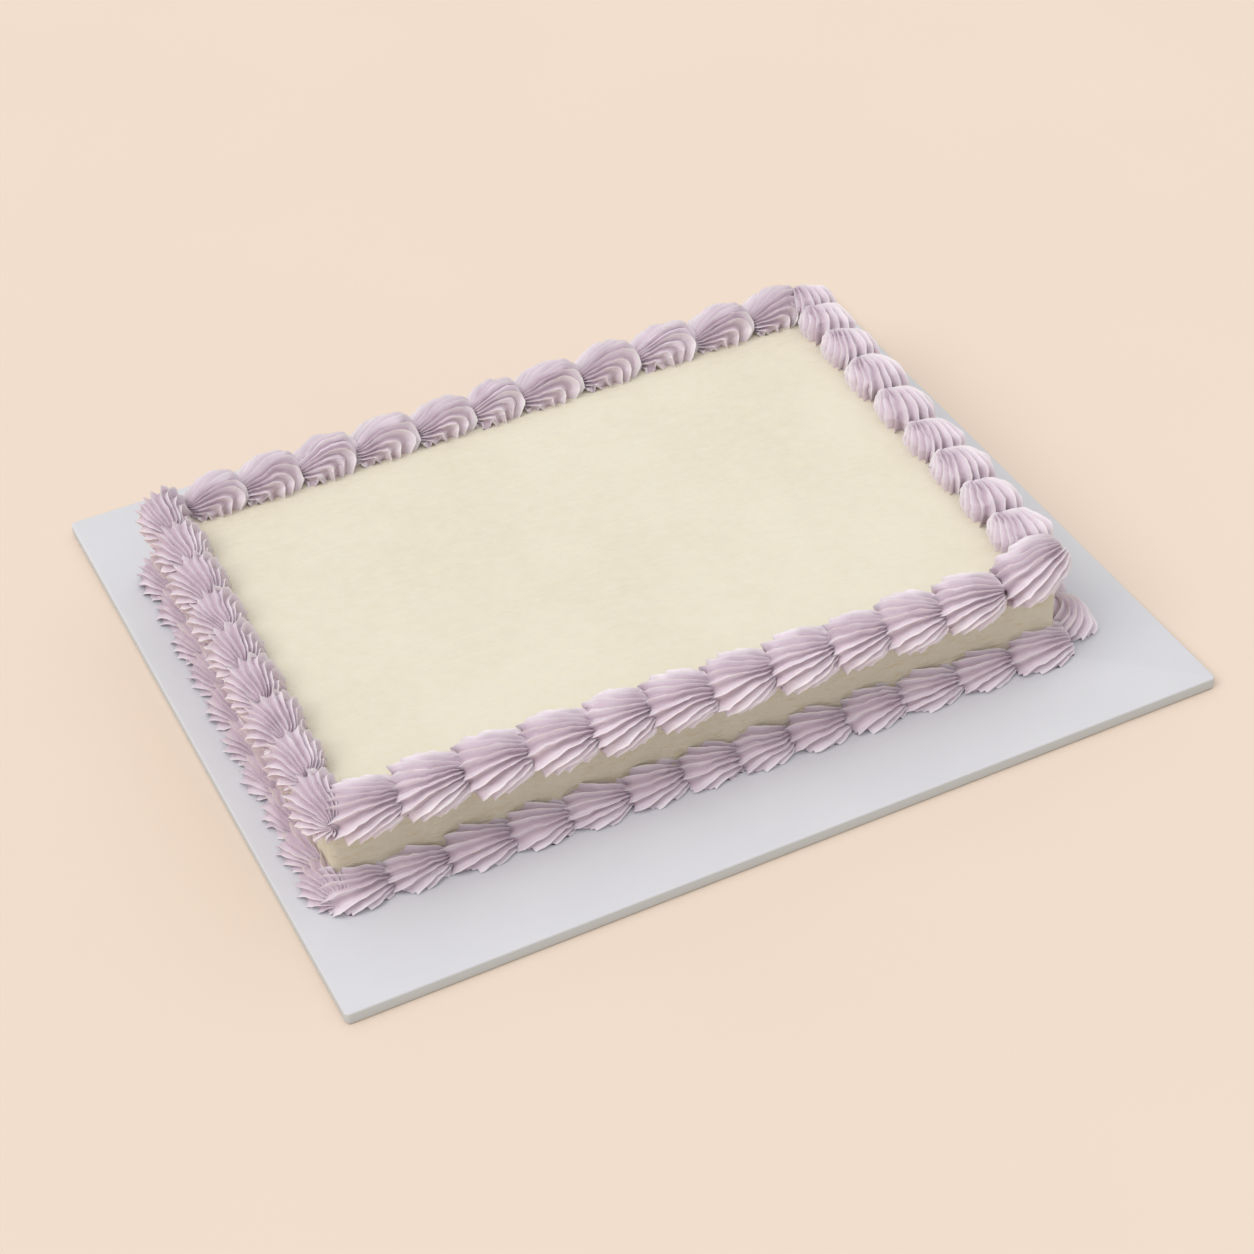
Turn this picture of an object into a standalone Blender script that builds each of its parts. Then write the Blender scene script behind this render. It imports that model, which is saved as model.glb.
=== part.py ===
"""Iced sheet cake with a piped shell border round its top edge and another round its foot, on a board.

Metres, +Z up. The origin is the middle of the board's underside. +X runs along the board's long side
and -Y is the front. The cake sits a little off the board's middle and a little turned on it.
"""

import math
import random

import bmesh
import bpy
from mathutils import Matrix, Vector

# Board
BOARD_LENGTH = 0.406
BOARD_DEPTH = 0.351
BOARD_THICKNESS = 0.006
BOARD_CORNER_RADIUS = 0.0025
BOARD_EDGE_RADIUS = 0.0008

# Iced cake, from a 13 by 9 inch tin, how it sits on the board, and how far its back left corner is
# out of square
CAKE_LENGTH = 0.336
CAKE_DEPTH = 0.230
CAKE_HEIGHT = 0.0435
CAKE_CORNER_RADIUS = 0.004
CAKE_ARRIS_CHAMFER = 0.0025
CAKE_OFFSET = (-0.0112, -0.0050)
CAKE_TURN = math.radians(-1.75)
OUT_OF_SQUARE = 0.0160

# One piped shell: a ridged ball, longer than it is wide, whose ridges all leave the tip of its tail
SHELL_RADIUS = 0.0139
SHELL_RIDGES = {"top": 8, "foot": 8}
RIDGE_DEPTH = 0.0022
SHELL_BLUNTNESS = 0.25  # how far the ball's outline goes towards a rectangle's
SHELL_TAPER = 0.10  # how much thicker the head is than the middle, and the tail thinner
SHELL_DIP = math.radians(7)
TAIL_RINGS = 3
UNDER_RINGS = 1
RIM_TUCK = 0.05

# What differs from side to side. A shell leans out of its side. Its rings close on a root, which turns
# from the tail, inward being positive, and leans from upright. Its rim can drop below its middle. The
# tail's tip lies along, inward and above on a ball of radius 1.
SHELL_HALF_LENGTH = {"front": 0.0176, "right": 0.0150, "back": 0.0166, "left": 0.0155}
LEAN_OUT = {"front": 42, "right": 15, "back": 35, "left": 38}
FOOT_LEAN = 45
ROOT_TURN = {"front": 4, "right": 15, "back": 40, "left": 20}
ROOT_LEAN = {"front": 73, "right": 46, "back": 90, "left": 75}
RIM_DROP = {"front": 0, "right": 0, "back": 20, "left": 0}
TAIL_TIP = {
    "front": (0.80, -0.06, 0.28),
    "right": (0.58, 0.30, 0.66),
    "back": (0.86, 0.02, 0.25),
    "left": (0.80, 0.00, 0.30),
}

# Hand-piped unevenness
SEED = 9
SIZE_SPREAD = 0.05
ROLL_SPREAD = math.radians(5)
YAW_SPREAD = math.radians(3.5)
USUAL_PITCH = 27.0  # mm
PITCH_EFFECT = 0.7  # how much of a longer or shorter pitch the shell's own length follows

GAP = 0.0003  # between pieces that touch
CUTTER_REACH = 0.05  # how far a cutter goes past what it cuts
MERGE_DISTANCE = 0.000002
FLAT_ANGLE = math.radians(3)  # faces nearer in line than this are joined before the mesh is made triangles

# Where each shell's tail lies along its side of the cake, in mm from the side's starting corner. The
# borders go round anticlockwise, and each shell's head covers the tail of the one before it.
TOP_TAILS = {
    "front": (30, 58, 86, 115, 140, 168, 195, 224, 249, 275, 304, 341),
    "right": (35, 60, 86, 111, 139, 167, 192, 215, 233),
    "back": (38, 68, 99, 129, 161, 185, 214, 244, 272, 300, 324),
    "left": (15, 40, 67, 91, 116, 141, 167, 191, 221),
}
FOOT_TAILS = {
    "front": (23, 48, 77, 102, 129, 155, 180, 205, 231, 258, 286, 312, 341),
    "right": (20, 45, 71, 97, 122, 148, 174, 199, 225),
    "back": (13, 41, 69, 96, 124, 152, 180, 207, 235, 263, 290, 318),
    "left": (3, 27, 51, 76, 100, 125, 149, 174, 198, 221),
}
# The height of each border's middle, and how far out from the cake's edges it runs
TOP_HEIGHT = CAKE_HEIGHT + 0.0016
TOP_OUT = {"front": 0.0018, "right": -0.0052, "back": 0.0005, "left": -0.0010}
FOOT_HEIGHT = 0.0022
FOOT_OUT = {"front": 0.0, "right": 0.0100, "back": 0.0, "left": 0.0}
# How far the last shell of a top run turns and moves inward, to go round the corner
END_TURN = {"front": 17, "right": 0, "back": 0, "left": 0}
END_INWARD = {"front": 0.0060, "right": 0.0, "back": 0.0, "left": 0.0}
BORDERS = {"top": (TOP_TAILS, TOP_HEIGHT, TOP_OUT), "foot": (FOOT_TAILS, FOOT_HEIGHT, FOOT_OUT)}
SIDES = ("front", "right", "back", "left")

# Colour, roughness and metallic value of each material
FINISHES = {
    "board_paper": ((0.66, 0.67, 0.71, 1.0), 0.55, 0.0),
    "ivory_icing": ((0.80, 0.73, 0.58, 1.0), 0.62, 0.0),
    "lilac_icing": ((0.74, 0.63, 0.71, 1.0), 0.5, 0.0),
}


def clear_scene():
    for obj in list(bpy.data.objects):
        bpy.data.objects.remove(obj)


def make_material(name):
    colour, roughness, metallic = FINISHES[name]
    material = bpy.data.materials.new(name)
    material.use_nodes = True
    shader = material.node_tree.nodes["Principled BSDF"]
    shader.inputs["Base Color"].default_value = colour
    shader.inputs["Roughness"].default_value = roughness
    shader.inputs["Metallic"].default_value = metallic
    material.diffuse_color = colour
    return material


def object_from(bm, name, collection=None):
    """A new object that holds the bmesh, which is freed."""
    mesh = bpy.data.meshes.new(name)
    bm.to_mesh(mesh)
    bm.free()
    obj = bpy.data.objects.new(name, mesh)
    (collection or bpy.context.scene.collection).objects.link(obj)
    return obj


def rounded_block(length, depth, bottom, top, corner_radius, corner_segments, edge_width, edge_segments, both_ends):
    """A block with rounded upright edges, whose top edges, or top and bottom ones, are then eased."""
    bm = bmesh.new()
    bmesh.ops.create_cube(bm, size=1)
    bmesh.ops.scale(bm, verts=bm.verts, vec=(length, depth, top - bottom))
    bmesh.ops.translate(bm, verts=bm.verts, vec=(0, 0, (top + bottom) / 2))
    upright = [e for e in bm.edges if abs(e.verts[0].co.z - e.verts[1].co.z) > (top - bottom) / 2]
    bmesh.ops.bevel(bm, geom=upright, offset=corner_radius, offset_type="OFFSET", segments=corner_segments,
                    profile=0.5, affect="EDGES")
    tiny = 1e-6
    ends = [top, bottom] if both_ends else [top]
    for level in ends:
        rim = [e for e in bm.edges if all(abs(v.co.z - level) < tiny for v in e.verts)]
        bmesh.ops.bevel(bm, geom=rim, offset=edge_width, offset_type="OFFSET", segments=edge_segments,
                        profile=0.5, affect="EDGES")
    return bm


def make_board(material):
    bm = rounded_block(BOARD_LENGTH, BOARD_DEPTH, 0, BOARD_THICKNESS, BOARD_CORNER_RADIUS, 2,
                       BOARD_EDGE_RADIUS, 1, True)
    board = object_from(bm, "board")
    board.data.materials.append(material)
    return board


def out_of_square(point):
    """The point moved as the cake's back left corner is, wholly there and not at all at the other corners."""
    share = (0.5 - point.x / CAKE_LENGTH) * (0.5 + point.y / CAKE_DEPTH)
    return Vector((point.x, point.y - OUT_OF_SQUARE * share, point.z))


def cake_block(grow):
    """The iced cake in its own frame, whose z = 0 is the board's top, grown all round by the given amount."""
    bm = rounded_block(CAKE_LENGTH + 2 * grow, CAKE_DEPTH + 2 * grow, GAP - grow, CAKE_HEIGHT + grow,
                       CAKE_CORNER_RADIUS + grow, 3, CAKE_ARRIS_CHAMFER, 1, False)
    for vert in bm.verts:
        vert.co = out_of_square(vert.co)
    return bm


def make_cake(place, material):
    cake = object_from(cake_block(0), "iced_cake")
    cake.data.materials.append(material)
    cake.matrix_world = place
    return cake


def ball_rings(side):
    """Each ring's centre, radius, tilt, turn and depth of groove on a ball of radius 1, from the tail's
    tip over the rim to the underside. The root points along +X, and the tip is turned from it.

    The rings lie in planes through one line, so that they close on the root. Towards the root they are
    also drawn over to the tip, and turned to face it.
    """
    lean, drop, root_turn = (math.radians(table[side]) for table in (ROOT_LEAN, RIM_DROP, ROOT_TURN))
    root = Vector((math.sin(lean), 0, math.cos(lean)))
    tip = Matrix.Rotation(-root_turn, 3, "Z") @ Vector(TAIL_TIP[side])
    tip_lean = tip.angle(Vector((0, 0, 1)))
    line_out = (1 + math.sin(drop) * math.cos(lean)) / math.sin(lean)
    line_away = math.hypot(line_out, math.sin(drop))
    line_below = math.atan2(math.sin(drop), line_out)
    rings = []
    for step in range(1, TAIL_RINGS + 1):
        away = (math.radians(90) + drop) * step / TAIL_RINGS
        tilt = math.asin(math.cos(away) / line_away) + line_below
        centre = Vector((math.sin(tilt), 0, math.cos(tilt))) * math.cos(away)
        spread_out = math.sin(min(away, math.radians(90)))
        drawn = (1 - spread_out) ** 2
        rings.append((centre + (tip - root) * drawn, math.sin(away), tilt + (tip_lean - lean) * drawn,
                      -root_turn * drawn, min(1.0, 1.6 * spread_out)))
    for step in range(1, UNDER_RINGS + 1):
        below = drop + (math.radians(90) - drop) * step / (UNDER_RINGS + 1)
        rings.append((Vector((0, 0, -math.sin(below))), math.cos(below) * (1 - RIM_TUCK), 0.0, 0.0, 1.0))
    return rings


def on_shell(point, side, groove):
    """Where a point of the ball lies on the shell, sunk by the groove.

    The shell's +X points to the tail, +Y inward, +Z away from what it sits on, and its middle is the origin.
    """
    blunt = 1 + SHELL_BLUNTNESS * (1 / max(abs(value) for value in point) - 1)
    thickness = SHELL_RADIUS * (1 - SHELL_TAPER * point.x * blunt)
    place = Vector((point.x * blunt * SHELL_HALF_LENGTH[side], point.y * blunt * thickness, point.z * thickness))
    place -= point.normalized() * groove
    return Matrix.Rotation(SHELL_DIP, 3, "Y") @ place


def shell_rings(side, ridges):
    """The rings of a shell from tail to underside, as lists of points in the shell's frame."""
    around = 2 * ridges
    root_turn = Matrix.Rotation(math.radians(ROOT_TURN[side]), 3, "Z")
    made = []
    for centre, radius, tilt, turn, depth in ball_rings(side):
        facing = Matrix.Rotation(turn, 3, "Z") @ Matrix.Rotation(tilt, 3, "Y")
        ring = []
        for k in range(around):
            angle = 2 * math.pi * k / around
            point = root_turn @ (centre + facing @ Vector((math.cos(angle), math.sin(angle), 0)) * radius)
            ring.append(on_shell(point, side, RIDGE_DEPTH * depth if k % 2 else 0.0))
        made.append(ring)
    return made


def shell_mesh(side, ridges):
    """A closed shell: rings joined face by face, with a point at the tail and one underneath."""
    rings = shell_rings(side, ridges)
    around = len(rings[0])
    bm = bmesh.new()
    tail = bm.verts.new(on_shell(Vector(TAIL_TIP[side]), side, 0.0))
    loops = [[bm.verts.new(p) for p in ring] for ring in rings]
    under = bm.verts.new(on_shell(Vector((0, 0, -1)), side, 0.0))
    for k in range(around):
        after = (k + 1) % around
        bm.faces.new((tail, loops[0][k], loops[0][after]))
        for upper, lower in zip(loops, loops[1:]):
            bm.faces.new((upper[k], lower[k], lower[after], upper[after]))
        bm.faces.new((loops[-1][k], under, loops[-1][after]))
    bmesh.ops.triangulate(bm, faces=bm.faces)
    bmesh.ops.recalc_face_normals(bm, faces=bm.faces)
    return bm


def side_frame(side, height, out):
    """Where a run starts, in the cake's frame: x along the run, y into the cake, z up."""
    length, depth = CAKE_LENGTH / 2, CAKE_DEPTH / 2
    corners = [out_of_square(Vector((x * length, y * depth, height)))
               for x, y in ((-1, -1), (1, -1), (1, 1), (-1, 1))]
    start = corners[SIDES.index(side)]
    end = corners[(SIDES.index(side) + 1) % 4]
    turn = math.atan2(end.y - start.y, end.x - start.x)
    return Matrix.Translation(start) @ Matrix.Rotation(turn, 4, "Z") @ Matrix.Translation((0, -out, 0))


def shell_places(rng, side, tails, lean, turns_corner):
    """Where each shell of a run goes in its side's frame, with its hand-piped differences."""
    lean_out = Matrix.Rotation(math.radians(lean), 4, "X")
    reach = TAIL_TIP[side][0] * SHELL_HALF_LENGTH[side]
    for k, tail in enumerate(tails):
        size = 1 + rng.uniform(-SIZE_SPREAD, SIZE_SPREAD)
        pitch = tail - tails[k - 1] if k else USUAL_PITCH
        stretch = 1 + PITCH_EFFECT * (pitch / USUAL_PITCH - 1)
        roll = Matrix.Rotation(rng.uniform(-ROLL_SPREAD, ROLL_SPREAD), 4, "X")
        yaw = Matrix.Rotation(rng.uniform(-YAW_SPREAD, YAW_SPREAD), 4, "Z")
        scale = Matrix.Diagonal((stretch, size, size, 1.0))
        corner = Matrix.Identity(4)
        if turns_corner and k == len(tails) - 1:
            inward = Matrix.Translation((0, END_INWARD[side], 0))
            corner = inward @ Matrix.Rotation(math.radians(END_TURN[side]), 4, "Z")
        start = Matrix.Translation((tail / 1000 - reach * stretch, 0, 0))
        yield start @ corner @ lean_out @ roll @ yaw @ scale


def apply_boolean(obj, operation, other=None, collection=None):
    modifier = obj.modifiers.new(operation.lower(), "BOOLEAN")
    modifier.operation = operation
    modifier.solver = "EXACT"
    if collection:
        modifier.operand_type = "COLLECTION"
        modifier.collection = collection
    else:
        modifier.object = other
    bpy.context.view_layer.update()
    graph = bpy.context.evaluated_depsgraph_get()
    made = bpy.data.meshes.new_from_object(obj.evaluated_get(graph))
    obj.modifiers.clear()
    obj.data = made


def remove(obj):
    bpy.data.objects.remove(obj)


def keep_largest_body(obj):
    """Drops loose scraps that cutting leaves, and closes up doubled points."""
    bm = bmesh.new()
    bm.from_mesh(obj.data)
    bmesh.ops.remove_doubles(bm, verts=bm.verts, dist=MERGE_DISTANCE)
    left = set(bm.verts)
    bodies = []
    while left:
        front = [left.pop()]
        body = set(front)
        while front:
            for edge in front.pop().link_edges:
                for vert in edge.verts:
                    if vert not in body:
                        body.add(vert)
                        left.discard(vert)
                        front.append(vert)
        bodies.append(body)
    largest = max(bodies, key=len)
    scraps = [v for body in bodies if body is not largest for v in body]
    bmesh.ops.delete(bm, geom=scraps, context="VERTS")
    bmesh.ops.dissolve_limit(bm, angle_limit=FLAT_ANGLE, verts=bm.verts, edges=bm.edges)
    bmesh.ops.triangulate(bm, faces=bm.faces)
    bm.to_mesh(obj.data)
    bm.free()


def run_end_cutters(side, ridges, places, frame):
    """The last two shells of a run, a little enlarged, so that the next run can be cut clear of them."""
    cutters = []
    for place in places[-2:]:
        bm = shell_mesh(side, ridges)
        bmesh.ops.transform(bm, matrix=frame @ place @ Matrix.Scale(1 + GAP / SHELL_RADIUS, 4), verts=bm.verts)
        cutters.append(object_from(bm, "run_end_cutter"))
    return cutters


def make_run(name, side, ridges, frame, places, cutters):
    """One side's border: its shells fused into one piece, then cut clear of what it touches."""
    shells = bpy.data.collections.new(name + "_shells")
    bpy.context.scene.collection.children.link(shells)
    for k, place in enumerate(places):
        bm = shell_mesh(side, ridges)
        bmesh.ops.transform(bm, matrix=frame @ place, verts=bm.verts)
        if k == 0:
            run = object_from(bm, name)
        else:
            object_from(bm, f"{name}_shell_{k}", shells)
    apply_boolean(run, "UNION", collection=shells)
    for shell in list(shells.objects):
        remove(shell)
    bpy.data.collections.remove(shells)
    for cutter in cutters:
        apply_boolean(run, "DIFFERENCE", other=cutter)
    keep_largest_body(run)
    return run


def make_borders(cake_place, material):
    """Both borders, each of four runs. A run is cut clear of the cake, the board and its neighbours."""
    rng = random.Random(SEED)
    cake_cutter = object_from(cake_block(GAP), "cake_cutter")
    wide = BOARD_LENGTH + 2 * CUTTER_REACH
    board_cutter = object_from(rounded_block(wide, wide, -CUTTER_REACH, GAP, 0.01, 1, 0.001, 1, False),
                               "board_cutter")
    for tier, (tails, height, out) in BORDERS.items():
        frames = {side: side_frame(side, height, out[side]) for side in SIDES}
        leans = LEAN_OUT if tier == "top" else dict.fromkeys(SIDES, FOOT_LEAN)
        places = {side: list(shell_places(rng, side, tails[side], leans[side], tier == "top")) for side in SIDES}
        ridges = SHELL_RIDGES[tier]
        made = {}
        for side in SIDES:
            before = SIDES[SIDES.index(side) - 1]
            ends = run_end_cutters(before, ridges, places[before], frames[before])
            cutters = [cake_cutter, *ends] + ([board_cutter] if tier == "foot" else [])
            made[side] = make_run(f"{tier}_border_{side}", side, ridges, frames[side], places[side], cutters)
            for end in ends:
                remove(end)
        for run in made.values():
            run.data.materials.clear()
            run.data.materials.append(material)
            run.matrix_world = cake_place
    remove(cake_cutter)
    remove(board_cutter)


def main():
    clear_scene()
    materials = {name: make_material(name) for name in FINISHES}
    cake_place = Matrix.Translation((*CAKE_OFFSET, BOARD_THICKNESS)) @ Matrix.Rotation(CAKE_TURN, 4, "Z")
    make_board(materials["board_paper"])
    make_cake(cake_place, materials["ivory_icing"])
    make_borders(cake_place, materials["lilac_icing"])


main()
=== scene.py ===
"""Iced sheet cake on a board: ivory buttercream, with lilac piped shells round its top edge and its foot."""

import math
import random

import bpy
from mathutils import Matrix, Vector


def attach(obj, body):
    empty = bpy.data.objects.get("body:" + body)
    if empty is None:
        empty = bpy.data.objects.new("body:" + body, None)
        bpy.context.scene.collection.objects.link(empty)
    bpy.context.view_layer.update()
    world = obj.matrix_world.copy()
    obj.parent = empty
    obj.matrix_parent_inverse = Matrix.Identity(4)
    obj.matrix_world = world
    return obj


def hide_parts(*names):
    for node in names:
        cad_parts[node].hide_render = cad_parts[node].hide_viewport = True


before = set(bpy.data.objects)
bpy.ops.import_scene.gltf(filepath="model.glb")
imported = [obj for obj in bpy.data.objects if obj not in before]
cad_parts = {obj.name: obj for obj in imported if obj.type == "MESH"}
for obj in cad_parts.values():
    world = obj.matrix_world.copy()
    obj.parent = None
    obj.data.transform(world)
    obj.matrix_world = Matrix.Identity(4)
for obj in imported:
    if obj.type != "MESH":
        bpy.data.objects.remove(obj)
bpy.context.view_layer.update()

# The board, in metres
BOARD_LENGTH = 0.406
BOARD_DEPTH = 0.351
BOARD_THICKNESS = 0.006
BOARD_CORNER_RADIUS = 0.0022
BOARD_EDGE_RADIUS = 0.0007

# The iced cake and its place on the board
CAKE_LENGTH = 0.336
CAKE_DEPTH = 0.230
CAKE_HEIGHT = 0.0435
CAKE_CORNER_RADIUS = 0.0042
CAKE_ARRIS_RADIUS = 0.0030
CAKE_BASE = 0.0003  # a hair above the board
CAKE_CUTS = 31
OUT_OF_SQUARE = 0.0160  # how far the back left corner lies nearer the front
CAKE_OFFSET = (-0.0112, -0.0050)
CAKE_TURN = math.radians(-1.75)
CAKE_PLACE = Matrix.Translation((*CAKE_OFFSET, BOARD_THICKNESS)) @ Matrix.Rotation(CAKE_TURN, 4, "Z")
# The icing's unevenness: how broad, how high, and the height that leaves the surface in place
SWELL = (0.055, 0.0012, 0.62)
KNIFE_MARKS = (0.011, 0.00045, 0.6)

# One piped shell, on a unit ball that is then stretched. Its rings close on a root, which is then drawn
# over to the tail's tip, so that the ridges leave the tip together and curl back to the rim.
RIDGES = 18
POINTS_A_RIDGE = (6, 10)  # fewest and most, as some ridges are wider than others
RIDGE_DEPTH = 0.0040
SHALLOWEST_VALLEY = 0.75  # the narrowest valleys, as a share of the widest
VALLEY_SKEW = 0.85  # under 1, a valley is deepest before its middle
CREST_SHARPNESS = 0.75  # under 1, crests are sharper than valleys
DEPTH_AT_SHOULDER = 0.80  # of a valley on the shoulder and underneath, as a share of the rim's
SHELL_RADIUS = 0.0130
SHELL_BLUNTNESS = 0.25
SHELL_TAPER = 0.10
SHELL_DIP = math.radians(7)
TAIL_RINGS = 18
UNDER_RINGS = 5
RIM_FLARE = 0.04
RIM_TUCK = 0.14
RIM_NARROWNESS = 8  # how closely the flare keeps to the rim
LAST_RING_ANGLE = math.radians(88)
VARIANTS = 3  # of each side's shell, which its run takes in turn

# Hand-piped unevenness
SEED = 9
SHAPE_SEED = 4
SIZE_SPREAD = 0.05
ROLL_SPREAD = math.radians(5)
YAW_SPREAD = math.radians(3.5)
USUAL_PITCH = 27.0  # mm
PITCH_EFFECT = 0.7  # how much of a longer or shorter pitch the shell's own length follows
WOBBLE = (0.010, 0.0022)  # how broad and how far
CRUMPLE = (0.0030, 0.0008)

# Where each shell's tail lies along its side of the cake, in mm from the side's starting corner
TOP_TAILS = {
    "front": (30, 58, 86, 115, 140, 168, 195, 224, 249, 275, 304, 341),
    "right": (35, 60, 86, 111, 139, 167, 192, 215, 233),
    "back": (38, 68, 99, 129, 161, 185, 214, 244, 272, 300, 324),
    "left": (15, 40, 67, 91, 116, 141, 167, 191, 221),
}
FOOT_TAILS = {
    "front": (23, 48, 77, 102, 129, 155, 180, 205, 231, 258, 286, 312, 341),
    "right": (20, 45, 71, 97, 122, 148, 174, 199, 225),
    "back": (13, 41, 69, 96, 124, 152, 180, 207, 235, 263, 290, 318),
    "left": (3, 27, 51, 76, 100, 125, 149, 174, 198, 221),
}
# The height of each border's middle, and how far out from the cake's edges it runs
TOP_HEIGHT = CAKE_HEIGHT + 0.0016
TOP_OUT = {"front": 0.0018, "right": -0.0052, "back": 0.0005, "left": -0.0010}
FOOT_HEIGHT = 0.0022
FOOT_OUT = {"front": 0.0, "right": 0.0100, "back": 0.0, "left": 0.0}
# How far the last shell of a top run turns and moves inward, to go round the corner
END_TURN = {"front": 17, "right": 0, "back": 0, "left": 0}
END_INWARD = {"front": 0.0060, "right": 0.0, "back": 0.0, "left": 0.0}
BORDERS = {"top": (TOP_TAILS, TOP_HEIGHT, TOP_OUT), "foot": (FOOT_TAILS, FOOT_HEIGHT, FOOT_OUT)}
SIDES = ("front", "right", "back", "left")
FOOT_FLAT_HEIGHT = BOARD_THICKNESS + 0.0001
FOOT_DRAWN_IN = 0.72  # what is pressed flat on the board, as a share of its width before

# What differs from side to side. A shell leans out of its side; its root turns from the tail, inward
# being positive, and leans from upright; its rim can drop below its middle; and its tail's tip lies
# along, inward and above on the unit ball.
SHELL_HALF_LENGTH = {"front": 0.0176, "right": 0.0150, "back": 0.0166, "left": 0.0155}
LEAN_OUT = {"front": 42, "right": 15, "back": 35, "left": 38}
FOOT_LEAN = 45
ROOT_TURN = {"front": 4, "right": 15, "back": 40, "left": 20}
ROOT_LEAN = {"front": 73, "right": 46, "back": 90, "left": 75}
RIM_DROP = {"front": 0, "right": 0, "back": 20, "left": 0}
TAIL_TIP = {
    "front": (0.80, -0.06, 0.28),
    "right": (0.58, 0.30, 0.66),
    "back": (0.86, 0.02, 0.25),
    "left": (0.80, 0.00, 0.30),
}

# The light, each sun's direction being towards it, and the camera, as fitted to the photo
WORLD_COLOUR = (1.0, 0.985, 0.965, 1.0)
WORLD_STRENGTH = 0.58
WINDOW = {"strength": 1.15, "softness": 40, "colour": (1.0, 0.985, 0.96), "towards": (-0.66, -0.12, 0.86)}
OVERHEAD = {"strength": 0.75, "softness": 110, "colour": (1.0, 0.99, 0.98), "towards": (0, 0, 1)}
CAMERA_AZIMUTH = math.radians(-24.20)
CAMERA_ELEVATION = math.radians(40.52)
CAMERA_ROLL = math.radians(-3.20)
CAMERA_PLACE = (-0.3925, -0.8829, 0.8134)
CAMERA_LENS = 79.72

# How near counts as on a line or a plane
NEAR = 1e-5
VERY_NEAR = 1e-6


# Small helpers

def object_mode():
    if bpy.context.object and bpy.context.object.mode != "OBJECT":
        bpy.ops.object.mode_set(mode="OBJECT")


def pick(*objects):
    """Selects just these, and makes the first active."""
    object_mode()
    bpy.ops.object.select_all(action="DESELECT")
    for obj in objects:
        obj.select_set(True)
    bpy.context.view_layer.objects.active = objects[0]


def pick_none():
    object_mode()
    bpy.ops.object.select_all(action="DESELECT")


def edit(obj):
    pick(obj)
    bpy.ops.object.mode_set(mode="EDIT")


def select_where(obj, test, kind="VERT"):
    """In edit mode, selects the verts, edges or faces of which every vert passes the test."""
    bpy.ops.mesh.select_mode(type=kind)
    bpy.ops.mesh.select_all(action="DESELECT")
    bpy.ops.object.mode_set(mode="OBJECT")
    mesh = obj.data
    passes = [test(v) for v in mesh.vertices]
    if kind == "VERT":
        for vert, good in zip(mesh.vertices, passes):
            vert.select = good
    for item in {"EDGE": mesh.edges, "FACE": mesh.polygons}.get(kind, ()):
        item.select = all(passes[i] for i in item.vertices)
    bpy.ops.object.mode_set(mode="EDIT")


def apply_transform(obj):
    pick(obj)
    bpy.ops.object.transform_apply(location=True, rotation=True, scale=True)


def apply_modifier(obj, kind, **settings):
    pick(obj)
    modifier = obj.modifiers.new(kind.title(), kind)
    for key, value in settings.items():
        setattr(modifier, key, value)
    bpy.ops.object.modifier_apply(modifier=modifier.name)


def clouds(name, size, depth=2, colour=False):
    texture = bpy.data.textures.new(name, "CLOUDS")
    texture.noise_scale = size
    texture.noise_depth = depth
    texture.cloud_type = "COLOR" if colour else "GRAYSCALE"
    return texture


def finish_piece(obj, name, material, slot_name, *nodes):
    obj.name = name
    obj.data.name = name
    obj.data.materials.clear()
    obj.data.materials.append(material)
    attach(obj, "root")
    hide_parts(*nodes)


# Materials

def new_material(name, roughness, specular):
    material = bpy.data.materials.new(name)
    material.use_nodes = True
    shader = material.node_tree.nodes["Principled BSDF"]
    shader.inputs["Roughness"].default_value = roughness
    shader.inputs["Specular IOR Level"].default_value = specular
    return material, material.node_tree, shader


def add_node(tree, kind, **settings):
    node = tree.nodes.new(kind)
    for key, value in settings.items():
        setattr(node, key, value)
    return node


def noise(tree, vector, scale, detail=3.0, roughness=0.55):
    node = add_node(tree, "ShaderNodeTexNoise")
    node.inputs["Scale"].default_value = scale
    node.inputs["Detail"].default_value = detail
    node.inputs["Roughness"].default_value = roughness
    tree.links.new(vector, node.inputs["Vector"])
    return node.outputs["Fac"]


def spread(tree, value, low, high):
    """A mask that goes from 0 where the value is low to 1 where it is high."""
    node = add_node(tree, "ShaderNodeMapRange")
    node.inputs["From Min"].default_value = low
    node.inputs["From Max"].default_value = high
    tree.links.new(value, node.inputs["Value"])
    return node.outputs["Result"]


def mix(tree, factor, first, second):
    """Mixes two colours, each a socket or a plain colour."""
    node = add_node(tree, "ShaderNodeMix", data_type="RGBA")
    for socket, value in ((node.inputs[0], factor), (node.inputs[6], first), (node.inputs[7], second)):
        if isinstance(value, (int, float)):
            socket.default_value = value
        elif isinstance(value, tuple):
            socket.default_value = (*value, 1.0)
        else:
            tree.links.new(value, socket)
    return node.outputs[2]


def add_bump(tree, shader, height, strength, distance):
    node = add_node(tree, "ShaderNodeBump")
    node.inputs["Strength"].default_value = strength
    node.inputs["Distance"].default_value = distance
    tree.links.new(height, node.inputs["Height"])
    tree.links.new(node.outputs["Normal"], shader.inputs["Normal"])
    return node


def new_group(name, inputs, output):
    """An empty node group, with its input and output nodes."""
    group = bpy.data.node_groups.new(name, "ShaderNodeTree")
    for socket_name, kind in inputs:
        group.interface.new_socket(name=socket_name, in_out="INPUT", socket_type=f"NodeSocket{kind}")
    group.interface.new_socket(name=output[0], in_out="OUTPUT", socket_type=f"NodeSocket{output[1]}")
    return group, group.nodes.new("NodeGroupInput"), group.nodes.new("NodeGroupOutput")


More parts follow.
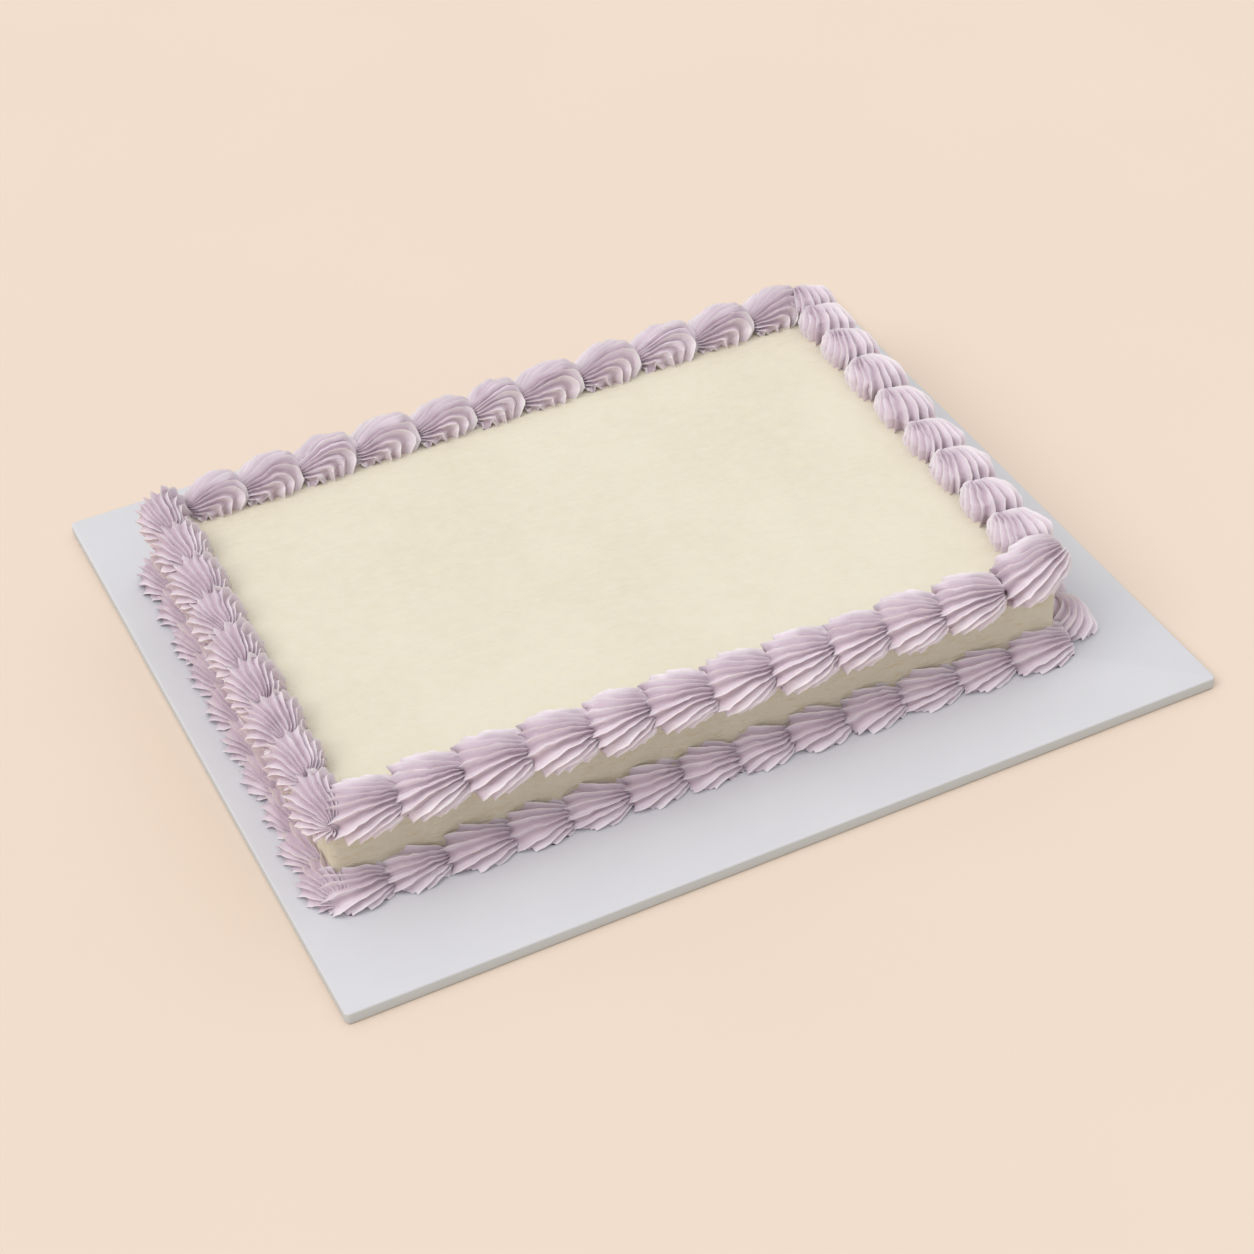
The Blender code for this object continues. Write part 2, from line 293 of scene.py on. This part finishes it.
def place_group(tree, group, place, values):
    """The group's output in a material, with these values on its sockets."""
    node = tree.nodes.new("ShaderNodeGroup")
    node.node_tree = group
    tree.links.new(place, node.inputs["Vector"])
    for name, value in values.items():
        node.inputs[name].default_value = (*value, 1.0) if isinstance(value, tuple) else value
    return node.outputs[0]


def make_mottle_group():
    """Soft patches of two colours."""
    inputs = (("Vector", "Vector"), ("Scale", "Float"), ("Detail", "Float"), ("Low", "Float"),
              ("High", "Float"), ("First", "Color"), ("Second", "Color"))
    group, given, made = new_group("mottle", inputs, ("Color", "Color"))
    cloud = add_node(group, "ShaderNodeTexNoise")
    cloud.inputs["Roughness"].default_value = 0.55
    reach = add_node(group, "ShaderNodeMapRange")
    blend = add_node(group, "ShaderNodeMix", data_type="RGBA")
    for name in ("Vector", "Scale", "Detail"):
        group.links.new(given.outputs[name], cloud.inputs[name])
    group.links.new(cloud.outputs["Fac"], reach.inputs["Value"])
    group.links.new(given.outputs["Low"], reach.inputs["From Min"])
    group.links.new(given.outputs["High"], reach.inputs["From Max"])
    group.links.new(reach.outputs["Result"], blend.inputs[0])
    group.links.new(given.outputs["First"], blend.inputs[6])
    group.links.new(given.outputs["Second"], blend.inputs[7])
    group.links.new(blend.outputs[2], made.inputs["Color"])
    return group


def make_grain_group():
    """A fine, even grain on the surface."""
    inputs = (("Vector", "Vector"), ("Scale", "Float"), ("Detail", "Float"), ("Strength", "Float"),
              ("Distance", "Float"))
    group, given, made = new_group("grain", inputs, ("Normal", "Vector"))
    speck = add_node(group, "ShaderNodeTexNoise")
    speck.inputs["Roughness"].default_value = 0.55
    bump = add_node(group, "ShaderNodeBump")
    for name in ("Vector", "Scale", "Detail"):
        group.links.new(given.outputs[name], speck.inputs[name])
    group.links.new(speck.outputs["Fac"], bump.inputs["Height"])
    for name in ("Strength", "Distance"):
        group.links.new(given.outputs[name], bump.inputs[name])
    group.links.new(bump.outputs["Normal"], made.inputs["Normal"])
    return group


def mottle(tree, place, scale, detail, low, high, first, second):
    group = bpy.data.node_groups.get("mottle") or make_mottle_group()
    return place_group(tree, group, place, {"Scale": scale, "Detail": detail, "Low": low, "High": high,
                                            "First": first, "Second": second})


def grain(tree, place, shader, scale, detail, strength, distance):
    group = bpy.data.node_groups.get("grain") or make_grain_group()
    normal = place_group(tree, group, place, {"Scale": scale, "Detail": detail, "Strength": strength,
                                              "Distance": distance})
    tree.links.new(normal, shader.inputs["Normal"])


def lilac_icing():
    material, tree, shader = new_material("lilac_icing", 0.46, 0.42)
    place = add_node(tree, "ShaderNodeTexCoord").outputs["Object"]
    crest = add_node(tree, "ShaderNodeAttribute", attribute_name="crest").outputs["Fac"]
    body = mottle(tree, place, 95.0, 2.0, 0.35, 0.68, (0.722, 0.632, 0.712), (0.775, 0.688, 0.765))
    # painted shade: the valleys between the ridges, where the crest attribute is low, are given a darker
    # lilac
    valley = mix(tree, spread(tree, crest, 0.00, 0.42), (0.535, 0.420, 0.492), body)
    # painted highlight: the crests, where the crest attribute is high, are given a light lilac
    lilac_with_painted_light = mix(tree, spread(tree, crest, 0.60, 0.95), valley, (0.870, 0.805, 0.845))
    tree.links.new(lilac_with_painted_light, shader.inputs["Base Color"])
    grain(tree, place, shader, 900.0, 3.0, 0.12, 0.0006)
    shader.inputs["Subsurface Weight"].default_value = 0.18
    shader.inputs["Subsurface Radius"].default_value = (1.0, 0.6, 0.75)
    shader.inputs["Subsurface Scale"].default_value = 0.0022
    return material


def ivory_icing():
    material, tree, shader = new_material("ivory_icing", 0.58, 0.35)
    place = add_node(tree, "ShaderNodeTexCoord").outputs["Object"]
    colour = mottle(tree, place, 14.0, 3.0, 0.36, 0.66, (0.735, 0.680, 0.545), (0.770, 0.720, 0.590))
    fine = spread(tree, noise(tree, place, 160.0, 3.0), 0.30, 0.75)
    colour = mix(tree, fine, colour, mix(tree, 0.5, colour, (0.80, 0.755, 0.63)))
    strokes = add_node(tree, "ShaderNodeMapping")
    strokes.inputs["Rotation"].default_value = (0.0, 0.0, math.radians(24))
    strokes.inputs["Scale"].default_value = (0.35, 1.6, 1.0)
    tree.links.new(place, strokes.inputs["Vector"])
    drag = noise(tree, strokes.outputs["Vector"], 240.0, 4.0)
    drag_bump = add_bump(tree, shader, drag, 0.45, 0.0012)
    height = add_node(tree, "ShaderNodeSeparateXYZ")
    tree.links.new(place, height.inputs["Vector"])
    side = spread(tree, height.outputs["Z"], CAKE_HEIGHT + 0.0045, CAKE_HEIGHT + 0.0010)
    smear = add_node(tree, "ShaderNodeMapping")
    smear.inputs["Rotation"].default_value = (math.radians(8), math.radians(-9), 0.0)
    smear.inputs["Scale"].default_value = (0.5, 0.5, 1.7)
    tree.links.new(place, smear.inputs["Vector"])
    ragged = mix(tree, side, (0.5, 0.5, 0.5), noise(tree, smear.outputs["Vector"], 260.0, 6.0, 0.72))
    side_bump = add_bump(tree, shader, ragged, 0.62, 0.0025)
    tree.links.new(drag_bump.outputs["Normal"], side_bump.inputs["Normal"])
    # painted shade: the low points of the side's smear bump are given a darker ivory
    hollow_painted_shade = spread(tree, ragged, 0.48, 0.34)
    tree.links.new(mix(tree, hollow_painted_shade, colour, (0.705, 0.610, 0.430)), shader.inputs["Base Color"])
    shader.inputs["Subsurface Weight"].default_value = 0.12
    shader.inputs["Subsurface Radius"].default_value = (1.0, 0.85, 0.5)
    shader.inputs["Subsurface Scale"].default_value = 0.002
    return material


def board_paper():
    material, tree, shader = new_material("board_paper", 0.5, 0.4)
    place = add_node(tree, "ShaderNodeTexCoord").outputs["Object"]
    colour = mottle(tree, place, 22.0, 4.0, 0.35, 0.68, (0.655, 0.662, 0.705), (0.675, 0.680, 0.722))
    height = add_node(tree, "ShaderNodeSeparateXYZ")
    tree.links.new(place, height.inputs["Vector"])
    # painted shade: the board's upright sides are given a darker, cooler grey than its top
    edge = spread(tree, height.outputs["Z"], BOARD_THICKNESS - 0.0004, BOARD_THICKNESS - 0.0010)
    colour = mix(tree, edge, colour, (0.560, 0.590, 0.600))
    tree.links.new(colour, shader.inputs["Base Color"])
    grain(tree, place, shader, 1400.0, 4.0, 0.10, 0.0004)
    return material


def backdrop_paper():
    material, tree, shader = new_material("backdrop_paper", 0.85, 0.1)
    place = add_node(tree, "ShaderNodeTexCoord").outputs["Object"]
    colour = mottle(tree, place, 5.0, 2.0, 0.35, 0.68, (0.800, 0.668, 0.563), (0.808, 0.678, 0.574))
    tree.links.new(colour, shader.inputs["Base Color"])
    return material


# The board and the cake

def upright_edges(obj, half_height):
    """Selects the upright edges of a block."""
    bpy.ops.mesh.select_mode(type="EDGE")
    bpy.ops.mesh.select_all(action="DESELECT")
    bpy.ops.object.mode_set(mode="OBJECT")
    points = obj.data.vertices
    for line in obj.data.edges:
        first, second = (points[i].co for i in line.vertices)
        line.select = abs(first.z - second.z) > half_height
    bpy.ops.object.mode_set(mode="EDIT")


def make_block(length, depth, bottom, top):
    pick_none()
    bpy.ops.mesh.primitive_cube_add(size=1, location=(0, 0, (bottom + top) / 2))
    block = bpy.context.object
    block.scale = (length, depth, top - bottom)
    apply_transform(block)
    return block


def make_board(material):
    board = make_block(BOARD_LENGTH, BOARD_DEPTH, 0, BOARD_THICKNESS)
    edit(board)
    upright_edges(board, BOARD_THICKNESS / 2)
    bpy.ops.mesh.bevel(offset=BOARD_CORNER_RADIUS, segments=6, profile=0.5, affect="EDGES")
    for level in (0, BOARD_THICKNESS):
        select_where(board, lambda v: abs(v.co.z - level) < VERY_NEAR, "EDGE")
        bpy.ops.mesh.bevel(offset=BOARD_EDGE_RADIUS, segments=3, profile=0.5, affect="EDGES")
    object_mode()
    bpy.ops.object.shade_smooth_by_angle(angle=math.radians(35))
    finish_piece(board, "cake_board", material, "board_paper", "board")


def out_of_square(point):
    share = (0.5 - point.x / CAKE_LENGTH) * (0.5 + point.y / CAKE_DEPTH)
    return Vector((point.x, point.y - OUT_OF_SQUARE * share, point.z))


def make_cake(material):
    cake = make_block(CAKE_LENGTH, CAKE_DEPTH, CAKE_BASE, CAKE_HEIGHT)
    edit(cake)
    bpy.ops.mesh.select_all(action="SELECT")
    bpy.ops.mesh.subdivide(number_cuts=CAKE_CUTS)
    object_mode()
    edit(cake)
    select_where(cake, lambda v: at_end(v.co) and at_side(v.co), "EDGE")
    bpy.ops.mesh.bevel(offset=CAKE_CORNER_RADIUS, segments=6, profile=0.5, affect="EDGES")
    select_where(cake, lambda v: on_top_rim(v.co), "EDGE")
    bpy.ops.mesh.bevel(offset=CAKE_ARRIS_RADIUS, segments=5, profile=0.5, affect="EDGES")
    object_mode()
    for vert in cake.data.vertices:
        vert.co = out_of_square(vert.co)
    cake.matrix_world = CAKE_PLACE
    apply_transform(cake)
    apply_modifier(cake, "SUBSURF", subdivision_type="SIMPLE", levels=1, render_levels=1)
    for name, depth, (size, height, level) in (("swell", 2, SWELL), ("knife", 3, KNIFE_MARKS)):
        texture = clouds(name, size, depth)
        apply_modifier(cake, "DISPLACE", texture=texture, texture_coords="LOCAL", strength=height,
                       mid_level=level)
    pick(cake)
    bpy.ops.object.shade_smooth()
    finish_piece(cake, "iced_sheet_cake", material, "ivory_icing", "iced_cake")


def at_end(place):
    return abs(place.x) > CAKE_LENGTH / 2 - NEAR


def at_side(place):
    return abs(place.y) > CAKE_DEPTH / 2 - NEAR


def on_corner_arc(place):
    """Whether a point is on the rounded part of a corner."""
    dx = abs(place.x) - (CAKE_LENGTH / 2 - CAKE_CORNER_RADIUS)
    dy = abs(place.y) - (CAKE_DEPTH / 2 - CAKE_CORNER_RADIUS)
    return dx > -VERY_NEAR and dy > -VERY_NEAR and abs(math.hypot(dx, dy) - CAKE_CORNER_RADIUS) < NEAR


def on_top_rim(place):
    """Whether a point is on the outline of the cake's top."""
    return place.z > CAKE_HEIGHT - VERY_NEAR and (at_end(place) or at_side(place) or on_corner_arc(place))


# The piped shells

def shell_rings(side):
    """Each ring's centre, radius, tilt, turn and depth of groove, from the tail's tip over the rim to the
    underside. The rings lie in planes through one line, so that they close on the root."""
    lean, drop, root_turn = (math.radians(table[side]) for table in (ROOT_LEAN, RIM_DROP, ROOT_TURN))
    root = Vector((math.sin(lean), 0, math.cos(lean)))
    tip = Matrix.Rotation(-root_turn, 3, "Z") @ Vector(TAIL_TIP[side])
    tip_lean = tip.angle(Vector((0, 0, 1)))
    line_out = (1 + math.sin(drop) * math.cos(lean)) / math.sin(lean)
    line_away = math.hypot(line_out, math.sin(drop))
    line_below = math.atan2(math.sin(drop), line_out)
    rings = []
    for step in range(1, TAIL_RINGS + 1):
        away = (math.radians(90) + drop) * step / TAIL_RINGS
        tilt = math.asin(math.cos(away) / line_away) + line_below
        centre = Vector((math.sin(tilt), 0, math.cos(tilt))) * math.cos(away)
        spread_out = math.sin(min(away, math.radians(90)))
        drawn = (1 - spread_out) ** 2
        rim = (step / TAIL_RINGS) ** RIM_NARROWNESS
        depth = min(1.0, 2.0 * spread_out) * (DEPTH_AT_SHOULDER + (1 - DEPTH_AT_SHOULDER) * rim)
        rings.append((centre + (tip - root) * drawn, math.sin(away) * (1 + RIM_FLARE * rim),
                      tilt + (tip_lean - lean) * drawn, -root_turn * drawn, depth))
    for step in range(1, UNDER_RINGS + 1):
        below = drop + (LAST_RING_ANGLE - drop) * step / UNDER_RINGS
        centre = Vector((0, 0, -math.sin(below)))
        rings.append((centre, math.cos(below) * (1 - RIM_TUCK), 0.0, 0.0, DEPTH_AT_SHOULDER))
    return rings


def turn_ring(angle, axis, centre):
    # a turn given to this operator without a window goes the other way
    bpy.ops.transform.rotate(value=-angle, orient_axis=axis, center_override=centre)


def ridge_profile(rng):
    """How deep each point round a ring lies between the ridges, 0 on a crest and 1 in a valley."""
    profile = []
    for _ in range(RIDGES):
        points = rng.randint(*POINTS_A_RIDGE)
        deepest = SHALLOWEST_VALLEY + (1 - SHALLOWEST_VALLEY) * points / POINTS_A_RIDGE[1]
        for step in range(points):
            across = (step / points) ** VALLEY_SKEW
            profile.append(deepest * math.sin(math.pi * across) ** CREST_SHARPNESS)
    return profile


def make_master_shell(side, rng):
    """One shell, drawn out ring by ring from its tail's tip, and then grooved."""
    profile = ridge_profile(rng)
    around = len(profile)
    pick_none()
    bpy.ops.mesh.primitive_circle_add(vertices=around, radius=1.0, location=(0, 0, 0))
    shell = bpy.context.object
    shell.name = "master_shell"
    steps = [round(math.atan2(v.co.y, v.co.x) / (2 * math.pi) * around) % around for v in shell.data.vertices]
    shell.data.attributes.new("depth", "FLOAT", "POINT")
    valley = shell.data.attributes.new("valley", "FLOAT", "POINT")
    valley.data.foreach_set("value", [profile[s] for s in steps])
    edit(shell)
    bpy.ops.mesh.select_all(action="SELECT")
    centre, radius, tilt, turn = Vector((0, 0, 0)), 1.0, 0.0, 0.0
    for count, (next_centre, next_radius, next_tilt, next_turn, depth) in enumerate(shell_rings(side)):
        if count:
            bpy.ops.mesh.extrude_region_move()
        bpy.ops.transform.resize(value=(next_radius / radius,) * 3, center_override=centre)
        turn_ring(-turn, "Z", centre)
        turn_ring(next_tilt - tilt, "Y", centre)
        turn_ring(next_turn, "Z", centre)
        bpy.ops.transform.translate(value=next_centre - centre)
        centre, radius, tilt, turn = next_centre, next_radius, next_tilt, next_turn
        set_selected(shell, "depth", depth)
    bpy.ops.mesh.extrude_region_move()
    bpy.ops.mesh.merge(type="CENTER")
    close_tip()
    bpy.ops.mesh.select_all(action="SELECT")
    bpy.ops.mesh.normals_make_consistent(inside=False)
    object_mode()
    shell.rotation_euler.z = math.radians(ROOT_TURN[side])
    apply_transform(shell)
    apply_modifier(shell, "CAST", cast_type="CUBOID", factor=SHELL_BLUNTNESS, use_z=False)
    shell.scale = (SHELL_HALF_LENGTH[side], SHELL_RADIUS, SHELL_RADIUS)
    apply_transform(shell)
    apply_modifier(shell, "SIMPLE_DEFORM", deform_method="TAPER", deform_axis="X", factor=-2 * SHELL_TAPER)
    cut_grooves(shell)
    shell.matrix_world = Matrix.Rotation(SHELL_DIP, 4, "Y")
    apply_transform(shell)
    return shell


def set_selected(obj, name, value):
    """In edit mode, gives the selected points this value of an attribute."""
    bpy.ops.object.mode_set(mode="OBJECT")
    values = obj.data.attributes[name].data
    for vert in obj.data.vertices:
        if vert.select:
            values[vert.index].value = value
    bpy.ops.object.mode_set(mode="EDIT")


def close_tip():
    """Closes the first ring, at the tail's tip."""
    bpy.ops.mesh.select_all(action="DESELECT")
    bpy.ops.mesh.select_mode(type="EDGE")
    bpy.ops.mesh.select_non_manifold()
    bpy.ops.mesh.extrude_region_move()
    bpy.ops.mesh.merge(type="CENTER")
    bpy.ops.mesh.select_mode(type="VERT")


def cut_grooves(shell):
    """Sinks the valleys between the ridges."""
    valley = [item.value for item in shell.data.attributes["valley"].data]
    depth = [item.value for item in shell.data.attributes["depth"].data]
    group = shell.vertex_groups.new(name="grooves")
    for index, (across, share) in enumerate(zip(valley, depth)):
        group.add([index], across * share, "REPLACE")
    # the crest attribute, 1 on a crest and lowest deep in a valley, drives the lilac icing's painted crest
    # highlight and painted valley shade
    crest = shell.data.attributes.new("crest", "FLOAT", "POINT")
    crest.data.foreach_set("value", [1 - across for across in valley])
    apply_modifier(shell, "DISPLACE", vertex_group="grooves", strength=-RIDGE_DEPTH, mid_level=0.0)
    shell.vertex_groups.clear()


def side_frame(side, height, out):
    """Where a run starts, in the cake's frame: x along the run, y into the cake, z up."""
    length, depth = CAKE_LENGTH / 2, CAKE_DEPTH / 2
    corners = [out_of_square(Vector((x * length, y * depth, height)))
               for x, y in ((-1, -1), (1, -1), (1, 1), (-1, 1))]
    start = corners[SIDES.index(side)]
    end = corners[(SIDES.index(side) + 1) % 4]
    turn = math.atan2(end.y - start.y, end.x - start.x)
    return Matrix.Translation(start) @ Matrix.Rotation(turn, 4, "Z") @ Matrix.Translation((0, -out, 0))


def shell_places(rng, side, tails, lean, turns_corner):
    """Where each shell of a run goes in its side's frame, with its hand-piped differences."""
    lean_out = Matrix.Rotation(lean, 4, "X")
    reach = TAIL_TIP[side][0] * SHELL_HALF_LENGTH[side]
    for k, tail in enumerate(tails):
        size = 1 + rng.uniform(-SIZE_SPREAD, SIZE_SPREAD)
        pitch = tail - tails[k - 1] if k else USUAL_PITCH
        stretch = 1 + PITCH_EFFECT * (pitch / USUAL_PITCH - 1)
        roll = Matrix.Rotation(rng.uniform(-ROLL_SPREAD, ROLL_SPREAD), 4, "X")
        yaw = Matrix.Rotation(rng.uniform(-YAW_SPREAD, YAW_SPREAD), 4, "Z")
        scale = Matrix.Diagonal((stretch, size, size, 1.0))
        corner = Matrix.Identity(4)
        if turns_corner and k == len(tails) - 1:
            inward = Matrix.Translation((0, END_INWARD[side], 0))
            corner = inward @ Matrix.Rotation(math.radians(END_TURN[side]), 4, "Z")
        start = Matrix.Translation((tail / 1000 - reach * stretch, 0, 0))
        yield start @ corner @ lean_out @ roll @ yaw @ scale


def flatten_below(obj, centre, level):
    """Presses flat what lies below a level, and draws it in under the rest."""
    edit(obj)
    select_where(obj, lambda v: v.co.z < level)
    drawn_in = (FOOT_DRAWN_IN, FOOT_DRAWN_IN, 0)
    bpy.ops.transform.resize(value=drawn_in, center_override=(centre.x, centre.y, level))
    object_mode()


def make_borders(material):
    rng = random.Random(SEED)
    shape_rng = random.Random(SHAPE_SEED)
    masters = {side: [make_master_shell(side, shape_rng) for _ in range(VARIANTS)] for side in SIDES}
    unevenness = [(clouds("wobble", WOBBLE[0], 2, True), WOBBLE[1]),
                  (clouds("crumple", CRUMPLE[0], 2, True), CRUMPLE[1])]
    for tier, (tails, height, out) in BORDERS.items():
        for side in SIDES:
            lean = math.radians(LEAN_OUT[side] if tier == "top" else FOOT_LEAN)
            base = CAKE_PLACE @ side_frame(side, height, out[side])
            shells = []
            for count, place in enumerate(shell_places(rng, side, tails[side], lean, tier == "top")):
                pick(masters[side][count % VARIANTS])
                bpy.ops.object.duplicate()
                shell = bpy.context.object
                shell.matrix_world = base @ place
                apply_transform(shell)
                for texture, reach in unevenness:
                    apply_modifier(shell, "DISPLACE", texture=texture, strength=reach,
                                   texture_coords="LOCAL", direction="RGB_TO_XYZ")
                if tier == "foot":
                    flatten_below(shell, (base @ place).translation, FOOT_FLAT_HEIGHT)
                shells.append(shell)
            pick(*shells)
            bpy.ops.object.join()
            run = bpy.context.object
            bpy.ops.object.shade_smooth_by_angle(angle=math.radians(70))
            finish_piece(run, f"{tier}_shells_{side}", material, "lilac_icing", f"{tier}_border_{side}")
    pick(*sum(masters.values(), []))
    bpy.ops.object.delete()


# Stage, light and camera

def make_stage():
    pick_none()
    bpy.ops.mesh.primitive_plane_add(size=40, location=(0, 0, -0.0002))
    floor = bpy.context.object
    floor.name = "floor"
    floor.data.materials.append(backdrop_paper())


def add_sun(name, strength, softness, colour, towards):
    pick_none()
    bpy.ops.object.light_add(type="SUN", location=towards)
    sun = bpy.context.object
    sun.name = name
    sun.data.energy = strength
    sun.data.angle = math.radians(softness)
    sun.data.color = colour
    sun.rotation_euler = Vector(towards).to_track_quat("Z", "Y").to_euler()


def make_light():
    scene = bpy.context.scene
    scene.view_settings.view_transform = "Standard"
    world = bpy.data.worlds.new("studio")
    scene.world = world
    world.use_nodes = True
    background = world.node_tree.nodes["Background"]
    background.inputs["Color"].default_value = WORLD_COLOUR
    background.inputs["Strength"].default_value = WORLD_STRENGTH
    add_sun("window_light", **WINDOW)
    add_sun("overhead_light", **OVERHEAD)


def make_camera():
    level_reach = math.cos(CAMERA_ELEVATION)
    back = Vector((math.sin(CAMERA_AZIMUTH) * level_reach, -math.cos(CAMERA_AZIMUTH) * level_reach,
                   math.sin(CAMERA_ELEVATION)))
    level = Vector((math.cos(CAMERA_AZIMUTH), math.sin(CAMERA_AZIMUTH), 0))
    above = back.cross(level)
    right = math.cos(CAMERA_ROLL) * level + math.sin(CAMERA_ROLL) * above
    up = -math.sin(CAMERA_ROLL) * level + math.cos(CAMERA_ROLL) * above
    data = bpy.data.cameras.new("photo_camera")
    data.lens = CAMERA_LENS
    data.sensor_width = 36
    data.clip_start = 0.05
    camera = bpy.data.objects.new("photo_camera", data)
    bpy.context.scene.collection.objects.link(camera)
    place = Matrix((right, up, back)).transposed().to_4x4()
    place.translation = CAMERA_PLACE
    camera.matrix_world = place
    bpy.context.scene.camera = camera


make_board(board_paper())
make_cake(ivory_icing())
make_borders(lilac_icing())
make_stage()
make_light()
make_camera()
